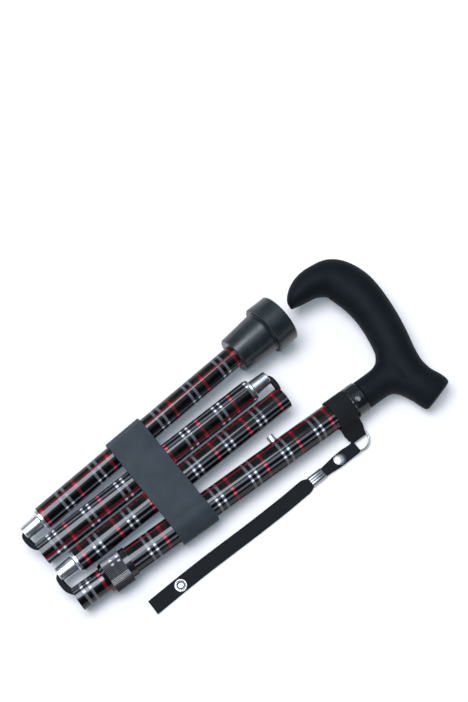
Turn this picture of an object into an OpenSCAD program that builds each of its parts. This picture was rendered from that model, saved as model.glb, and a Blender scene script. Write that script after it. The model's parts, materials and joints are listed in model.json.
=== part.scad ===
// Folding walking cane, folded flat and lying on a table.
// Four tube sections lie side by side in one plane. An elastic cord runs through all of them and
// loops from one section's end to the next. The top section telescopes and carries the handle.

/* [Tubes] */
// Outside diameter of the lower sections and of the sliding inner tube
lower_tube_d = 16; // [15:0.5:18]
// Wall of every tube
tube_wall = 1.2; // [1:0.1:1.6]
// Radial room between the inner tube and the upper tube
slide_gap = 0.3; // [0.2:0.05:0.5]
// Length of each middle section's tube
section_len = 168.5; // [150:0.5:190]
// Length of the foot section's tube, with the stretch inside the rubber foot
foot_tube_len = 187; // [178:0.5:200]

/* [Folded rows] */
// Gap between the tubes of the two middle sections
row_gap = 1.4; // [1:0.1:3]
// Gap between the foot section's tube and its neighbour, at their folded end
foot_gap = 1.9; // [1.4:0.1:4]
// Gap between the inner tube and its neighbour, at their folded end
top_gap = 3.2; // [2.6:0.1:5]
// Angle at which the foot section fans out from the middle sections
foot_angle = 2.65; // [2:0.05:3.5]
// Angle at which the top section fans out from the middle sections
top_angle = 3.2; // [2.8:0.05:4]
// How far the foot section's spigot stands past the middle sections' ends
foot_shift = 1.4; // [0:0.1:2]
// How far the inner tube's end lies behind the middle sections' ends
top_shift = 0.6; // [0:0.1:2]

/* [Spigots and sockets] */
// Length of the spigot's plug inside its tube
plug_len = 18; // [12:0.5:26]
// Thickness of the spigot's flange
flange_t = 1.5; // [1:0.1:3]
// Height of the cone between the flange and the nose
cone_t = 1.2; // [0.6:0.1:2]
// Length of the spigot's tapered nose
nose_len = 12.3; // [9:0.1:16]
// Radial taper along the nose
nose_taper = 0.55; // [0.3:0.05:0.9]
// Wall of the socket bush inside a tube's open end
socket_wall = 1.3; // [1:0.1:1.8]
// Radial running clearance between nose and socket
nose_gap = 0.1; // [0.05:0.01:0.1]
// Diameter of the elastic cord
cord_d = 3; // [2.4:0.1:3.2]
// Radius of the bends where the cord loops over
loop_bend_r = 2; // [2:0.1:3]
// How far a loop's ends lie inside the spigots' holes
loop_in = 0.3; // [0.1:0.1:0.3]
// Thickness of the washer that anchors each end of the cord
anchor_t = 3; // [2:0.5:5]
// Place of the upper anchor along the inner tube
top_anchor_at = 70; // [40:1:110]
// Place of the lower anchor along the foot tube
foot_anchor_at = 110; // [60:1:150]
// Diameter of the knot at each end of the cord
knot_d = 8; // [6:0.5:10]

/* [Rubber foot] */
// Rubber wall at the mouth of the foot
foot_wall = 5.4; // [3:0.1:8]
// Length of the neck, from the mouth to the flange
foot_neck_len = 26.5; // [22:0.5:34]
// Growth of the neck's diameter towards the flange
foot_neck_flare = 3.2; // [1:0.1:5]
// Diameter of the flange
foot_flange_d = 36.2; // [33:0.2:42]
// Diameter of the sole
foot_sole_d = 35.2; // [31:0.2:40]
// Length of the flange
foot_flange_len = 15.6; // [12:0.1:22]
// Depth of the bore that takes the tube
foot_bore_depth = 26; // [20:0.5:30]
// Thickness of the steel washer at the bottom of the bore
foot_washer_t = 1.5; // [1:0.1:2.5]
// Depth of the tread rings in the sole
tread_depth = 1.2; // [0.6:0.1:2]

/* [Height lock] */
// Length of inner tube that shows below the lock at the shortest setting
inner_show = 20.4; // [18:0.1:24]
// Length of the lock ring's cone
lock_cone_len = 2.5; // [1.5:0.1:4]
// Length of the lock ring's ribbed grip
lock_grip_len = 12.9; // [10:0.1:16]
// Diameter of the lock ring over its ribs
lock_ring_d = 22.4; // [22.2:0.1:26]
// Number of ribs round the lock ring
lock_ribs = 64; // [40:2:72]
// Depth of the grooves between the ribs
rib_depth = 0.4; // [0.2:0.05:0.5]
// Wall of the threaded collet outside the upper tube
collet_wall = 0.6; // [0.5:0.05:0.8]
// Length of the collet's shoulder above the ring
collet_shoulder_len = 3.9; // [2:0.1:6]
// Diameter of the snap button
button_d = 5.8; // [4:0.1:7]
// How far the snap button stands out of the upper tube
button_out = 4.3; // [2:0.1:5]
// Clearance between the inner tube's top bush and the handle's stem at the shortest setting
stem_clear = 13.9; // [8:0.1:18]
// Distance of the snap button from the inner tube's top end
button_from_end = 18; // [17.5:0.5:26]
// Distance between two height settings
hole_pitch = 25.4; // [20:0.1:26]
// Number of height settings
hole_count = 5; // [3:1:5]

/* [Handle] */
// Distance from the rubber foot's sole to the handle's neck, along the sections
handle_clear = 18; // [14:0.2:26]
// Length of the handle across the cane
handle_len = 127; // [110:1:140]
// How far the handle reaches beyond its collar
handle_reach = 58.5; // [50:0.5:66]
// Depth of the grip, in the plane of the fold
grip_depth = 31; // [26:0.5:35]
// Thickness of the grip, square to the plane of the fold
grip_thick = 25.2; // [22:0.2:28]
// Diameter of the handle's neck
neck_d = 20.4; // [19.4:0.1:22]
// Depth to which the stem goes into the upper tube
stem_in = 30; // [20:1:32]
// Depth to which the stem goes into the handle
stem_up = 26; // [15:1:32]
// Wall of the gloss collar outside the tube
collar_wall = 1.35; // [1:0.05:2]
// Length of the gloss collar
collar_len = 8.8; // [7:0.1:12]
// Length of the collar that covers the tube
collar_over = 7.6; // [6:0.1:8]
// Diameter of the pin through collar, tube and stem
pin_d = 2.6; // [2:0.1:4]
// Diameter of the pin's domed heads
pin_head_d = 3.6; // [3:0.1:5]

/* [Holder clip] */
// Width of the clip along the tubes
clip_w = 27; // [18:0.5:34]
// Thickness of the clip's wall
clip_t = 1.6; // [1.2:0.1:2.4]
// Clearance between clip and tubes
clip_gap = 0.4; // [0.3:0.05:0.8]
// Place of the clip along the middle sections
clip_at = 72.6; // [60:0.2:90]
// How far the clip's lips reach below the tubes' centres
clip_lip = 4.6; // [3:0.1:6]

/* [Wrist strap] */
// Width of the elastic band round the upper tube
band_w = 14.8; // [12:0.1:15]
// Thickness of the elastic band
band_t = 1.3; // [0.8:0.1:1.8]
// Gap between band and collar
band_gap = 0.4; // [0.3:0.1:1]
// Reach of the band's tab from the tube's centre line
tab_reach = 18.6; // [17:0.2:23]
// Thickness of the doubled tab
tab_t = 2.2; // [1.6:0.1:2.8]
// Wire diameter of the D ring
ring_wire_d = 1.7; // [1.2:0.1:2]
// Width of the D ring between its legs' centre lines
ring_w = 13; // [12:0.1:14]
// Length of the D ring's straight legs
ring_leg = 7; // [7:0.1:9]
// Radius of the D ring's rounded corners
ring_round = 4.8; // [2.5:0.1:6]
// Thickness of the strap webbing
web_t = 1.3; // [1:0.1:1.5]
// Width of the strap webbing
web_w = 10.2; // [9:0.1:12]
// Length of the doubled webbing between D ring and crimp
strap_tab_len = 37; // [32:0.5:42]
// Length of the crimp
crimp_len = 11; // [8:0.5:14]
// Width of the webbing where the crimp gathers it
crimp_in_w = 6.4; // [5:0.1:8]
// Width of the webbing's fold round the D ring
grasp_w = 4.6; // [4:0.1:4.8]
// Wall of the crimp
crimp_wall = 0.6; // [0.4:0.1:1]
// Length of the webbing from the crimp to its free end
strap_len = 128; // [110:1:135]
// Diameter of the snap fastener's cap
snap_d = 8.4; // [7:0.1:9]
// Height of the snap fastener's cap
snap_h = 1.8; // [1.2:0.1:2.4]
// Distance of the snap socket from the strap's free end
snap_end = 22; // [14:1:30]

/* [Hidden] */
$fn = 96;
hull_sides = 32;
// overrun of every cut, and clearance of parts pressed into one another
cut = 1;
fit = 0.02;
pin_fit = 0.05;
free_gap = 0.3;

tube_id = lower_tube_d - 2 * tube_wall;
upper_id = lower_tube_d + 2 * slide_gap;
upper_d = upper_id + 2 * tube_wall;
socket_bore_d = tube_id - 2 * socket_wall;
nose_base_d = socket_bore_d - 2 * nose_gap;
nose_tip_d = nose_base_d - 2 * nose_taper;
spigot_out = flange_t + cone_t + nose_len;
flange_inset = 0.3;
flange_d = lower_tube_d - 2 * flange_inset;
nose_round = 0.5;
cord_hole_d = cord_d + 4 * free_gap;
socket_len = nose_len + cone_t + 2 * free_gap;

row_pitch = lower_tube_d + row_gap;
foot_pitch = lower_tube_d + foot_gap;
top_pitch = lower_tube_d + top_gap;

// each row is the place of its tube's folded end and the angle of its axis
foot_row = [spigot_out - foot_shift, foot_pitch, foot_angle];
lower_row = [0, 0, 0];
upper_row = [spigot_out, -row_pitch, 0];
top_row = [top_shift, -row_pitch - top_pitch, -top_angle];

// a point along a row and beside it, in the plane of the fold
function row_point(row, along, beside = 0) = [
    row.x + along * cos(row.z) - beside * sin(row.z),
    row.y + along * sin(row.z) + beside * cos(row.z)
];

// the loops' ends lie on a fine grid, so that their pieces meet exactly
grid = 0.01;
function stepped(p) = [grid * round(p.x / grid), grid * round(p.y / grid)];

// places along the foot section
foot_mouth = foot_tube_len - foot_bore_depth + foot_washer_t;
foot_mouth_d = lower_tube_d + 2 * foot_wall;
foot_neck_d = foot_mouth_d + foot_neck_flare;
foot_flange_at = foot_mouth + foot_neck_len;
foot_end = foot_flange_at + foot_flange_len;
tread_share = 0.2;
foot_edge = 0.8;
foot_groove = 1.6;

// places along the top section
lock_grip_at = inner_show + lock_cone_len;
lock_end = lock_grip_at + lock_grip_len;
lock_face = 1.2;
upper_tube_at = lock_grip_at + lock_face + free_gap + tube_wall;
handle_at = foot_end + handle_clear;
collar_at = handle_at - collar_len;
upper_tube_end = collar_at + collar_over;
upper_tube_len = upper_tube_end - upper_tube_at;
inner_tube_len = upper_tube_end - stem_in - stem_clear - flange_t;
button_at = inner_tube_len - button_from_end;
collet_d = upper_d + 2 * collet_wall;
collet_at = lock_grip_at + lock_face + free_gap;
collet_end = lock_end + free_gap + collet_shoulder_len;
shoulder_step = 0.25;
collar_d = upper_d + 2 * collar_wall;
collar_round = 0.5;
band_at = collar_at - band_gap - band_w;
stem_d = upper_id - 2 * fit;
pin_share = 0.4;
pin_at = collar_at + collar_len * pin_share;
pin_head_h = 0.7;
pin_lean = 10;

// grip stations: reach, length, half depth and half thickness, as shares of the handle's sizes
grip_shares = [
    [0.030, 0.616, 0.09, 0.20], [0.103, 0.632, 0.19, 0.32], [0.222, 0.649, 0.28, 0.40],
    [0.361, 0.656, 0.335, 0.45], [0.483, 0.644, 0.385, 0.48], [0.595, 0.622, 0.445, 0.49],
    [0.675, 0.577, 0.475, 0.50], [0.734, 0.502, 0.485, 0.50], [0.756, 0.428, 0.465, 0.50],
    [0.755, 0.341, 0.44, 0.50], [0.731, 0.243, 0.425, 0.49], [0.691, 0.152, 0.42, 0.49],
    [0.640, 0.059, 0.41, 0.49], [0.614, -0.033, 0.40, 0.48], [0.637, -0.121, 0.395, 0.47],
    [0.680, -0.179, 0.42, 0.44], [0.707, -0.216, 0.40, 0.38], [0.700, -0.235, 0.29, 0.28]
];
// neck stations: reach, offset and half width of the handle's sizes, and half thickness
neck_shares = [
    [0.000, 0.000, 0.000, 0.400], [0.240, 0.000, 0.000, 0.400], [0.310, 0.000, 0.005, 0.410],
    [0.370, -0.005, 0.020, 0.425], [0.420, -0.012, 0.050, 0.440], [0.463, -0.020, 0.090, 0.450],
    [0.505, -0.012, 0.130, 0.430], [0.600, -0.010, 0.080, 0.360]
];
station_t = 0.2;
heel_station = 14;

function grip_point(i) = [
    handle_at + handle_reach * grip_shares[i][0],
    handle_len * grip_shares[i][1]
];
function grip_turn(i) =
    let (last = len(grip_shares) - 1)
    let (p = grip_point(max(i - 1, 0)), q = grip_point(min(i + 1, last)))
    atan2(q.y - p.y, q.x - p.x);

// The folded cane rests on three places: the foot's flange, the lock ring and the handle's heel.
// Each is a point in the plane of the fold and the height of that plane above the table there.
rest_foot = concat(row_point(foot_row, foot_flange_at), foot_flange_d / 2);
rest_lock = concat(row_point(top_row, lock_grip_at), lock_ring_d / 2);
heel = grip_point(heel_station);
rest_heel = concat(row_point(top_row, heel.x, heel.y), grip_thick * grip_shares[heel_station][3]);
to_lock = rest_lock - rest_foot;
to_heel = rest_heel - rest_foot;
rest_det = to_lock.x * to_heel.y - to_lock.y * to_heel.x;
slope_x = (to_lock.z * to_heel.y - to_heel.z * to_lock.y) / rest_det;
slope_y = (to_heel.z * to_lock.x - to_lock.z * to_heel.x) / rest_det;
rest_height = rest_foot.z - slope_x * rest_foot.x - slope_y * rest_foot.y;
tilt_x = atan(slope_y);
tilt_y = -atan(slope_x * cos(tilt_x));
lift = rest_height * cos(tilt_x) * cos(tilt_y);
function height_at(p) = rest_height + slope_x * p.x + slope_y * p.y;

// middle of the whole outline seen from above, which becomes the origin
outer_shares = [1, 0.47];
heel_end_shares = [0.62, -0.254];
right_reach = row_point(
    top_row, handle_at + handle_reach * outer_shares[0], handle_len * outer_shares[1]
).x;
left_reach = -(foot_shift - loop_in + loop_bend_r + cord_d / 2);
far_reach = row_point(foot_row, foot_flange_at + foot_flange_len / 2).y + foot_flange_d / 2;
near_reach = row_point(
    top_row, handle_at + handle_reach * heel_end_shares[0], handle_len * heel_end_shares[1]
).y;
centre = [(right_reach + left_reach) / 2, (far_reach + near_reach) / 2];

// a point given in the plane of the fold, with its height over that plane, as it lies on the table
function laid(p, up = 0) =
    let (y = p.y * cos(tilt_x) - up * sin(tilt_x), z = p.y * sin(tilt_x) + up * cos(tilt_x))
    [
        p.x * cos(tilt_y) + z * sin(tilt_y) - centre.x,
        y - centre.y,
        z * cos(tilt_y) - p.x * sin(tilt_y) + lift
    ];

// places of the strap: the D ring's bar, the middle of its arc, and the strap's own start
ring_eye_r = ring_wire_d / 2 + free_gap + web_t;
bar_at = band_at + band_w / 2;
bar_plan = row_point(top_row, bar_at, -tab_reach);
bar_depth = height_at(bar_plan) - ring_eye_r - free_gap;
grasp_wall = 0.9;
grasp_share = 0.72;
grasp_y = ring_leg * grasp_share;
grasp_taper = 5;
grasp_plan = row_point(
    top_row,
    bar_at - ring_w / 2,
    -tab_reach - grasp_y
);
strap_start = laid(grasp_plan, -bar_depth);
strap_turn = 179.2;
snap_share = 0.33;
snap_at = strap_tab_len * snap_share;
crimp_in_share = 0.5;
strap_from = strap_tab_len - crimp_len * crimp_in_share;
post_d = 2.4;
crimp_ribs = 4;
crimp_rib_d = 1;
socket_hole_d = 3.4;
socket_round = 0.4;
spring_w = 6;
spring_t = 0.6;
spring_flat = 4;
spring_len = 24;

// lays the plane of the fold on the table
module lie() {
    translate([-centre.x, -centre.y, lift])
        rotate([tilt_x, tilt_y, 0])
            children();
}

// the frame of one row: Z along its tube, Y across the plane of the fold, X down
module on_row(row, along = 0) {
    lie()
        translate([row.x, row.y, 0])
            rotate([0, 0, row.z])
                rotate([0, 90, 0])
                    translate([0, 0, along])
                        children();
}

module pipe(len, d, bore) {
    difference() {
        cylinder(d = d, h = len);
        translate([0, 0, -cut])
            cylinder(d = bore, h = len + 2 * cut);
    }
}

// a spigot that stands out of its tube's end along +Z
module spigot() {
    rotate_extrude()
        polygon([
            [cord_hole_d / 2, -plug_len],
            [tube_id / 2 - fit, -plug_len],
            [tube_id / 2 - fit, 0],
            [flange_d / 2, 0],
            [flange_d / 2, flange_t],
            [nose_base_d / 2, flange_t + cone_t],
            [nose_tip_d / 2, spigot_out - nose_round],
            [nose_tip_d / 2 - nose_round, spigot_out],
            [cord_hole_d / 2 + loop_in, spigot_out],
            [cord_hole_d / 2, spigot_out - loop_in]
        ]);
}

// a bush that lines a tube's open end, from its mouth along +Z
module socket() {
    rotate_extrude()
        polygon([
            [socket_bore_d / 2, free_gap + socket_round],
            [socket_bore_d / 2 + socket_round, free_gap],
            [tube_id / 2 - fit, free_gap],
            [tube_id / 2 - fit, socket_len + plug_len],
            [socket_bore_d / 2, socket_len + plug_len]
        ]);
}

module cord_run(len) {
    cylinder(d = cord_d, h = len);
}

module anchor_washer() {
    pipe(anchor_t, tube_id - 2 * fit, cord_d + 2 * fit);
}

// a cord that comes out of one row's end, bends over and goes back into the next
// side is -1 at the folded left end and 1 at the right end
module cord_loop(low, high, side) {
    a = stepped(low);
    b = stepped(high);
    turn_x = side < 0 ? min(a.x, b.x) : max(a.x, b.x);
    lie() {
        loop_leg(a, turn_x);
        loop_leg(b, turn_x);
        translate([turn_x, a.y + loop_bend_r, 0])
            rotate([0, 0, side < 0 ? 180 : 270])
                quarter_bend();
        translate([turn_x, b.y - loop_bend_r, 0])
            rotate([0, 0, side < 0 ? 90 : 0])
                quarter_bend();
        translate([turn_x + side * loop_bend_r, a.y + loop_bend_r, 0])
            rotate([-90, 0, 0])
                cord_run(b.y - a.y - 2 * loop_bend_r);
    }
}

module loop_leg(from, to_x) {
    if (abs(from.x - to_x) > fit)
        translate([min(from.x, to_x), from.y, 0])
            rotate([0, 90, 0])
                cord_run(abs(from.x - to_x));
}

module quarter_bend() {
    rotate_extrude(angle = 90)
        translate([loop_bend_r, 0])
            circle(d = cord_d);
}

// one cross-section of the handle, a thin oval
module oval(half_w, half_t) {
    scale([half_w, half_t, 1])
        cylinder(r = 1, h = station_t, center = true, $fn = hull_sides);
}

module grip_station(i) {
    p = grip_point(i);
    translate([0, p.y, p.x])
        rotate([-grip_turn(i), 0, 0])
            rotate([0, 0, 90])
                oval(grip_depth * grip_shares[i][2], grip_thick * grip_shares[i][3]);
}

module neck_station(i) {
    s = neck_shares[i];
    translate([0, handle_len * s[1], handle_at + station_t / 2 + handle_reach * s[0]])
        rotate([0, 0, 90])
            oval(neck_d / 2 + handle_len * s[2], grip_thick * s[3]);
}

// soft-touch derby handle: a curved grip with a hooked end, on a flared neck
module handle_grip() {
    color([0.10, 0.12, 0.14])
        on_row(top_row)
            difference() {
                union() {
                    for (i = [0 : len(grip_shares) - 2])
                        hull() {
                            grip_station(i);
                            grip_station(i + 1);
                        }
                    for (i = [0 : len(neck_shares) - 2])
                        hull() {
                            neck_station(i);
                            neck_station(i + 1);
                        }
                }
                translate([0, 0, handle_at - cut])
                    cylinder(d = stem_d, h = stem_up + cut);
            }
}

// stem moulded into the handle that plugs into the upper tube
module handle_stem() {
    color([0.16, 0.16, 0.17])
        on_row(top_row, upper_tube_end - stem_in)
            difference() {
                cylinder(d = stem_d, h = handle_at + stem_up - upper_tube_end + stem_in);
                translate([0, 0, pin_at - upper_tube_end + stem_in])
                    pin_hole();
            }
}

module pin_hole() {
    rotate([0, 0, pin_lean])
        rotate([0, 90, 0])
            cylinder(d = pin_d + 2 * pin_fit, h = 2 * collar_d, center = true);
}

// gloss collar that covers the joint between tube and handle
module handle_collar() {
    color([0.05, 0.05, 0.06])
        on_row(top_row, collar_at)
            difference() {
                rotate_extrude()
                    polygon([
                        [upper_d / 2 + fit, 0],
                        [collar_d / 2 - collar_round, 0],
                        [collar_d / 2, collar_round],
                        [collar_d / 2, collar_len - collar_round],
                        [collar_d / 2 - collar_round, collar_len],
                        [stem_d / 2 + fit, collar_len],
                        [stem_d / 2 + fit, collar_over + fit],
                        [upper_d / 2 + fit, collar_over + fit]
                    ]);
                translate([0, 0, pin_at - collar_at])
                    pin_hole();
            }
}

// pin with a domed head at each end, through collar, tube and stem
module handle_pin() {
    color([0.75, 0.75, 0.77])
        on_row(top_row, pin_at)
            rotate([0, 0, pin_lean])
                rotate([0, 90, 0])
                    rotate_extrude()
                        polygon([
                            [0, -collar_d / 2 - pin_head_h],
                            [pin_head_d / 4, -collar_d / 2 - pin_head_h],
                            [pin_head_d / 2, -collar_d / 2 - pin_fit],
                            [pin_d / 2, -collar_d / 2 - pin_fit],
                            [pin_d / 2, collar_d / 2 + pin_fit],
                            [pin_head_d / 2, collar_d / 2 + pin_fit],
                            [pin_head_d / 4, collar_d / 2 + pin_head_h],
                            [0, collar_d / 2 + pin_head_h]
                        ]);
}

// hole for the snap button, through the side that faces the other sections
module button_hole() {
    rotate([-90, 0, 0])
        cylinder(d = button_d + 2 * nose_gap, h = upper_d);
}

// upper tube with the row of height holes
module upper_tube() {
    color([0.12, 0.09, 0.10])
        on_row(top_row)
            difference() {
                translate([0, 0, upper_tube_at])
                    pipe(upper_tube_len, upper_d, upper_id);
                for (i = [0 : hole_count - 1])
                    translate([0, 0, button_at - i * hole_pitch])
                        button_hole();
                translate([0, 0, pin_at])
                    pin_hole();
            }
}

// threaded collet on the upper tube's lower end, gripped by the lock ring
module lock_collet() {
    color([0.13, 0.13, 0.14])
        on_row(top_row)
            rotate_extrude()
                polygon([
                    [upper_id / 2, collet_at],
                    [collet_d / 2, collet_at],
                    [collet_d / 2, lock_end + free_gap],
                    [collet_d / 2 + shoulder_step, lock_end + free_gap],
                    [collet_d / 2 + shoulder_step, collet_end],
                    [upper_d / 2 + fit, collet_end],
                    [upper_d / 2 + fit, upper_tube_at - fit],
                    [upper_id / 2, upper_tube_at - fit]
                ]);
}

// lock ring with a cone towards the inner tube and a ribbed grip
module lock_ring() {
    bore_d = collet_d + 2 * nose_gap;
    color([0.30, 0.28, 0.28])
        on_row(top_row)
            difference() {
                union() {
                    translate([0, 0, inner_show])
                        cylinder(
                            d1 = upper_id + 2 * lock_face,
                            d2 = lock_ring_d - 3 * rib_depth,
                            h = lock_cone_len
                        );
                    translate([0, 0, lock_grip_at])
                        linear_extrude(lock_grip_len)
                            polygon([
                                for (i = [0 : 2 * lock_ribs - 1])
                                    let (r = lock_ring_d / 2 - (i % 2) * rib_depth)
                                    let (a = 180 * i / lock_ribs)
                                    [r * cos(a), r * sin(a)]
                            ]);
                }
                translate([0, 0, inner_show - cut])
                    cylinder(d = upper_id, h = lock_cone_len + lock_face + 2 * cut);
                translate([0, 0, lock_grip_at + lock_face])
                    cylinder(d = bore_d, h = lock_grip_len);
            }
}

// elastic band round the upper tube, with a sewn tab that holds the D ring
module strap_band() {
    color([0.06, 0.06, 0.07])
        on_row(top_row, band_at)
            difference() {
                union() {
                    cylinder(d = upper_d + 2 * fit + 2 * band_t, h = band_w);
                    hull() {
                        translate([tab_t / 2, -upper_d / 2, 0])
                            cylinder(d = tab_t, h = band_w, $fn = hull_sides);
                        translate([bar_depth, -tab_reach, 0])
                            cylinder(d = tab_t, h = band_w, $fn = hull_sides);
                    }
                    translate([bar_depth, -tab_reach, 0])
                        cylinder(r = ring_eye_r, h = band_w);
                }
                translate([0, 0, -cut])
                    cylinder(d = upper_d + 2 * fit, h = band_w + 2 * cut);
                translate([bar_depth, -tab_reach, -cut])
                    cylinder(r = ring_wire_d / 2 + free_gap, h = band_w + 2 * cut);
                for (end = [0, 1])
                    translate([bar_depth, -tab_reach, end * band_w])
                        ring_end_room();
            }
}

// room in the tab's ends for the D ring's corners
module ring_end_room() {
    slot = band_w - ring_w + ring_wire_d + 2 * free_gap;
    reach = ring_eye_r + cut;
    translate([-reach, -reach, -slot / 2])
        cube([2 * reach, 2 * reach, slot]);
}

// the frame of the D ring: bar along Z through the origin, legs towards -Y
module at_ring() {
    on_row(top_row, bar_at)
        translate([bar_depth, -tab_reach, 0])
            children();
}

// the D ring's wire
module ring_wire() {
    far = ring_w - 2 * ring_round;
    translate([0, 0, -ring_w / 2])
        cylinder(d = ring_wire_d, h = ring_w);
    translate([0, -ring_leg - ring_round, -far / 2])
        cylinder(d = ring_wire_d, h = far);
    for (side = [-1, 1])
        translate([0, 0, side * ring_w / 2]) {
            sphere(d = ring_wire_d);
            rotate([90, 0, 0])
                cylinder(d = ring_wire_d, h = ring_leg);
            translate([0, -ring_leg, -side * ring_round])
                rotate([0, -90, 0])
                    rotate([0, 0, side < 0 ? 180 : 270])
                        rotate_extrude(angle = 90)
                            translate([ring_round, 0])
                                circle(d = ring_wire_d);
        }
}

// steel D ring that joins the strap to the band
module d_ring() {
    color([0.72, 0.72, 0.74])
        at_ring()
            ring_wire();
}

// the frame of the strap: X along it from the D ring, Z up from the table
module on_strap() {
    translate([strap_start.x, strap_start.y, 0])
        rotate([0, 0, strap_turn])
            children();
}

// doubled webbing that folds round the D ring and carries the snap cap
module strap_tab() {
    eye_r = ring_wire_d / 2 + free_gap + grasp_wall;
    color([0.05, 0.05, 0.06])
        difference() {
            union() {
                on_strap()
                    linear_extrude(2 * web_t)
                        polygon([
                            [0, -grasp_w / 2],
                            [grasp_taper, -web_w / 2],
                            [strap_tab_len - crimp_len - grasp_taper, -web_w / 2],
                            [strap_tab_len - crimp_len, -crimp_in_w / 2],
                            [strap_from - fit, -crimp_in_w / 2],
                            [strap_from - fit, crimp_in_w / 2],
                            [strap_tab_len - crimp_len, crimp_in_w / 2],
                            [strap_tab_len - crimp_len - grasp_taper, web_w / 2],
                            [grasp_taper, web_w / 2],
                            [0, grasp_w / 2]
                        ]);
                grasp_eye(eye_r, grasp_w);
            }
            grasp_eye(ring_wire_d / 2 + free_gap, grasp_w + 2 * cut);
            on_strap()
                translate([snap_at, 0, -cut])
                    cylinder(d = post_d + 2 * fit, h = 2 * web_t + 2 * cut);
        }
}

// a round of the given size on the D ring's leg, where the strap grasps it
module grasp_eye(r, wide) {
    at_ring()
        translate([0, -grasp_y, -ring_w / 2])
            rotate([90, 0, 0])
                cylinder(r = r, h = wide, center = true);
}

// domed cap of the snap fastener, riveted through the doubled webbing
module snap_cap() {
    color([0.76, 0.76, 0.78])
        on_strap()
            translate([snap_at, 0, 0])
                rotate_extrude()
                    polygon(concat(
                        [[0, 0], [post_d / 2, 0], [post_d / 2, 2 * web_t + fit]],
                        [[snap_d / 2, 2 * web_t + fit]],
                        [for (a = [30 : 20 : 90]) [snap_d / 2 * cos(a), 2 * web_t + fit + snap_h * sin(a)]]
                    ));
}

// ribbed steel crimp that gathers the webbing
module strap_crimp() {
    high = 2 * web_t + fit + crimp_wall;
    wide = crimp_in_w + 2 * fit + 2 * crimp_wall;
    color([0.70, 0.70, 0.72])
        on_strap()
            translate([strap_tab_len - crimp_len, 0, 0]) {
                difference() {
                    translate([0, -wide / 2, 0])
                        cube([crimp_len, wide, high]);
                    translate([-cut, -wide / 2 + crimp_wall, -cut])
                        cube([crimp_len + 2 * cut, crimp_in_w + 2 * fit, high - crimp_wall + cut]);
                }
                for (i = [1 : crimp_ribs])
                    translate([0, wide * i / (crimp_ribs + 1) - wide / 2, high])
                        rotate([0, 90, 0])
                            cylinder(d = crimp_rib_d, h = crimp_len);
            }
}

// long single webbing, square at its free end
module strap_webbing() {
    color([0.05, 0.05, 0.06])
        on_strap()
            difference() {
                linear_extrude(web_t)
                    polygon([
                        [strap_from, -crimp_in_w / 2],
                        [strap_tab_len, -crimp_in_w / 2],
                        [strap_tab_len + web_w, -web_w / 2],
                        [strap_tab_len + strap_len, -web_w / 2],
                        [strap_tab_len + strap_len, web_w / 2],
                        [strap_tab_len + web_w, web_w / 2],
                        [strap_tab_len, crimp_in_w / 2],
                        [strap_from, crimp_in_w / 2]
                    ]);
                translate([strap_tab_len + strap_len - snap_end, 0, -cut])
                    cylinder(d = post_d + 2 * fit, h = web_t + 2 * cut);
            }
}

// snap socket near the strap's free end
module snap_socket() {
    color([0.70, 0.70, 0.72])
        on_strap()
            translate([strap_tab_len + strap_len - snap_end, 0, 0])
                rotate_extrude()
                    polygon([
                        [0, 0],
                        [post_d / 2, 0],
                        [post_d / 2, web_t + fit],
                        [snap_d / 2, web_t + fit],
                        [snap_d / 2, web_t + snap_h / 2],
                        [snap_d / 2 - socket_round, web_t + snap_h],
                        [socket_hole_d / 2, web_t + snap_h],
                        [socket_hole_d / 2, web_t + snap_h / 2],
                        [0, web_t + snap_h / 2]
                    ]);
}

// inner tube that slides in the upper tube
module inner_tube() {
    color([0.12, 0.09, 0.10])
        on_row(top_row)
            difference() {
                pipe(inner_tube_len, lower_tube_d, tube_id);
                translate([0, 0, button_at])
                    button_hole();
            }
}

// plastic bush in the inner tube's top end that centres it in the upper tube
module guide_bush() {
    color([0.85, 0.85, 0.83])
        on_row(top_row, inner_tube_len)
            rotate_extrude()
                polygon([
                    [cord_hole_d / 2, -plug_len / 2],
                    [tube_id / 2 - fit, -plug_len / 2],
                    [tube_id / 2 - fit, 0],
                    [upper_id / 2 - nose_gap, 0],
                    [upper_id / 2 - nose_gap, flange_t],
                    [cord_hole_d / 2, flange_t]
                ]);
}

module inner_socket() {
    color([0.20, 0.20, 0.21])
        on_row(top_row)
            socket();
}

// chromed button that locks the height
module snap_button() {
    base = tube_id / 2 - 2 * tube_wall;
    top = upper_d / 2 + button_out;
    color([0.78, 0.78, 0.80])
        on_row(top_row, button_at)
            rotate([-90, 0, 0])
                rotate_extrude()
                    polygon([
                        [0, base],
                        [button_d / 2, base],
                        [button_d / 2, top - nose_round],
                        [button_d / 2 - nose_round, top],
                        [0, top]
                    ]);
}

// bent leaf spring that pushes the button out
module button_spring() {
    top = tube_id / 2 - 2 * tube_wall - fit;
    low = -sqrt(pow(tube_id / 2, 2) - pow(spring_w / 2, 2)) + fit;
    color([0.55, 0.55, 0.57])
        on_row(top_row, button_at)
            rotate([0, -90, 0])
                linear_extrude(spring_w, center = true)
                    polygon([
                        [spring_flat, top],
                        [-spring_flat, top],
                        [-spring_len, 0],
                        [spring_flat, low],
                        [spring_flat, low + spring_t],
                        [2 * spring_flat - spring_len, spring_t / 2],
                        [-spring_flat + spring_t, top - spring_t],
                        [spring_flat, top - spring_t]
                    ]);
}

module cord_anchor_top() {
    color([0.60, 0.60, 0.58])
        on_row(top_row, top_anchor_at)
            anchor_washer();
}

// cord in the inner tube, knotted behind its anchor
module cord_top() {
    from = 2 * free_gap + loop_bend_r;
    color([0.04, 0.04, 0.05])
        on_row(top_row) {
            translate([0, 0, from])
                cord_run(top_anchor_at + anchor_t + knot_d - from);
            translate([0, 0, top_anchor_at + anchor_t + knot_d / 2 + fit])
                sphere(d = knot_d);
        }
}

module cord_loop_top() {
    color([0.04, 0.04, 0.05])
        cord_loop(row_point(top_row, loop_bend_r), [loop_in, upper_row.y], -1);
}

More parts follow.
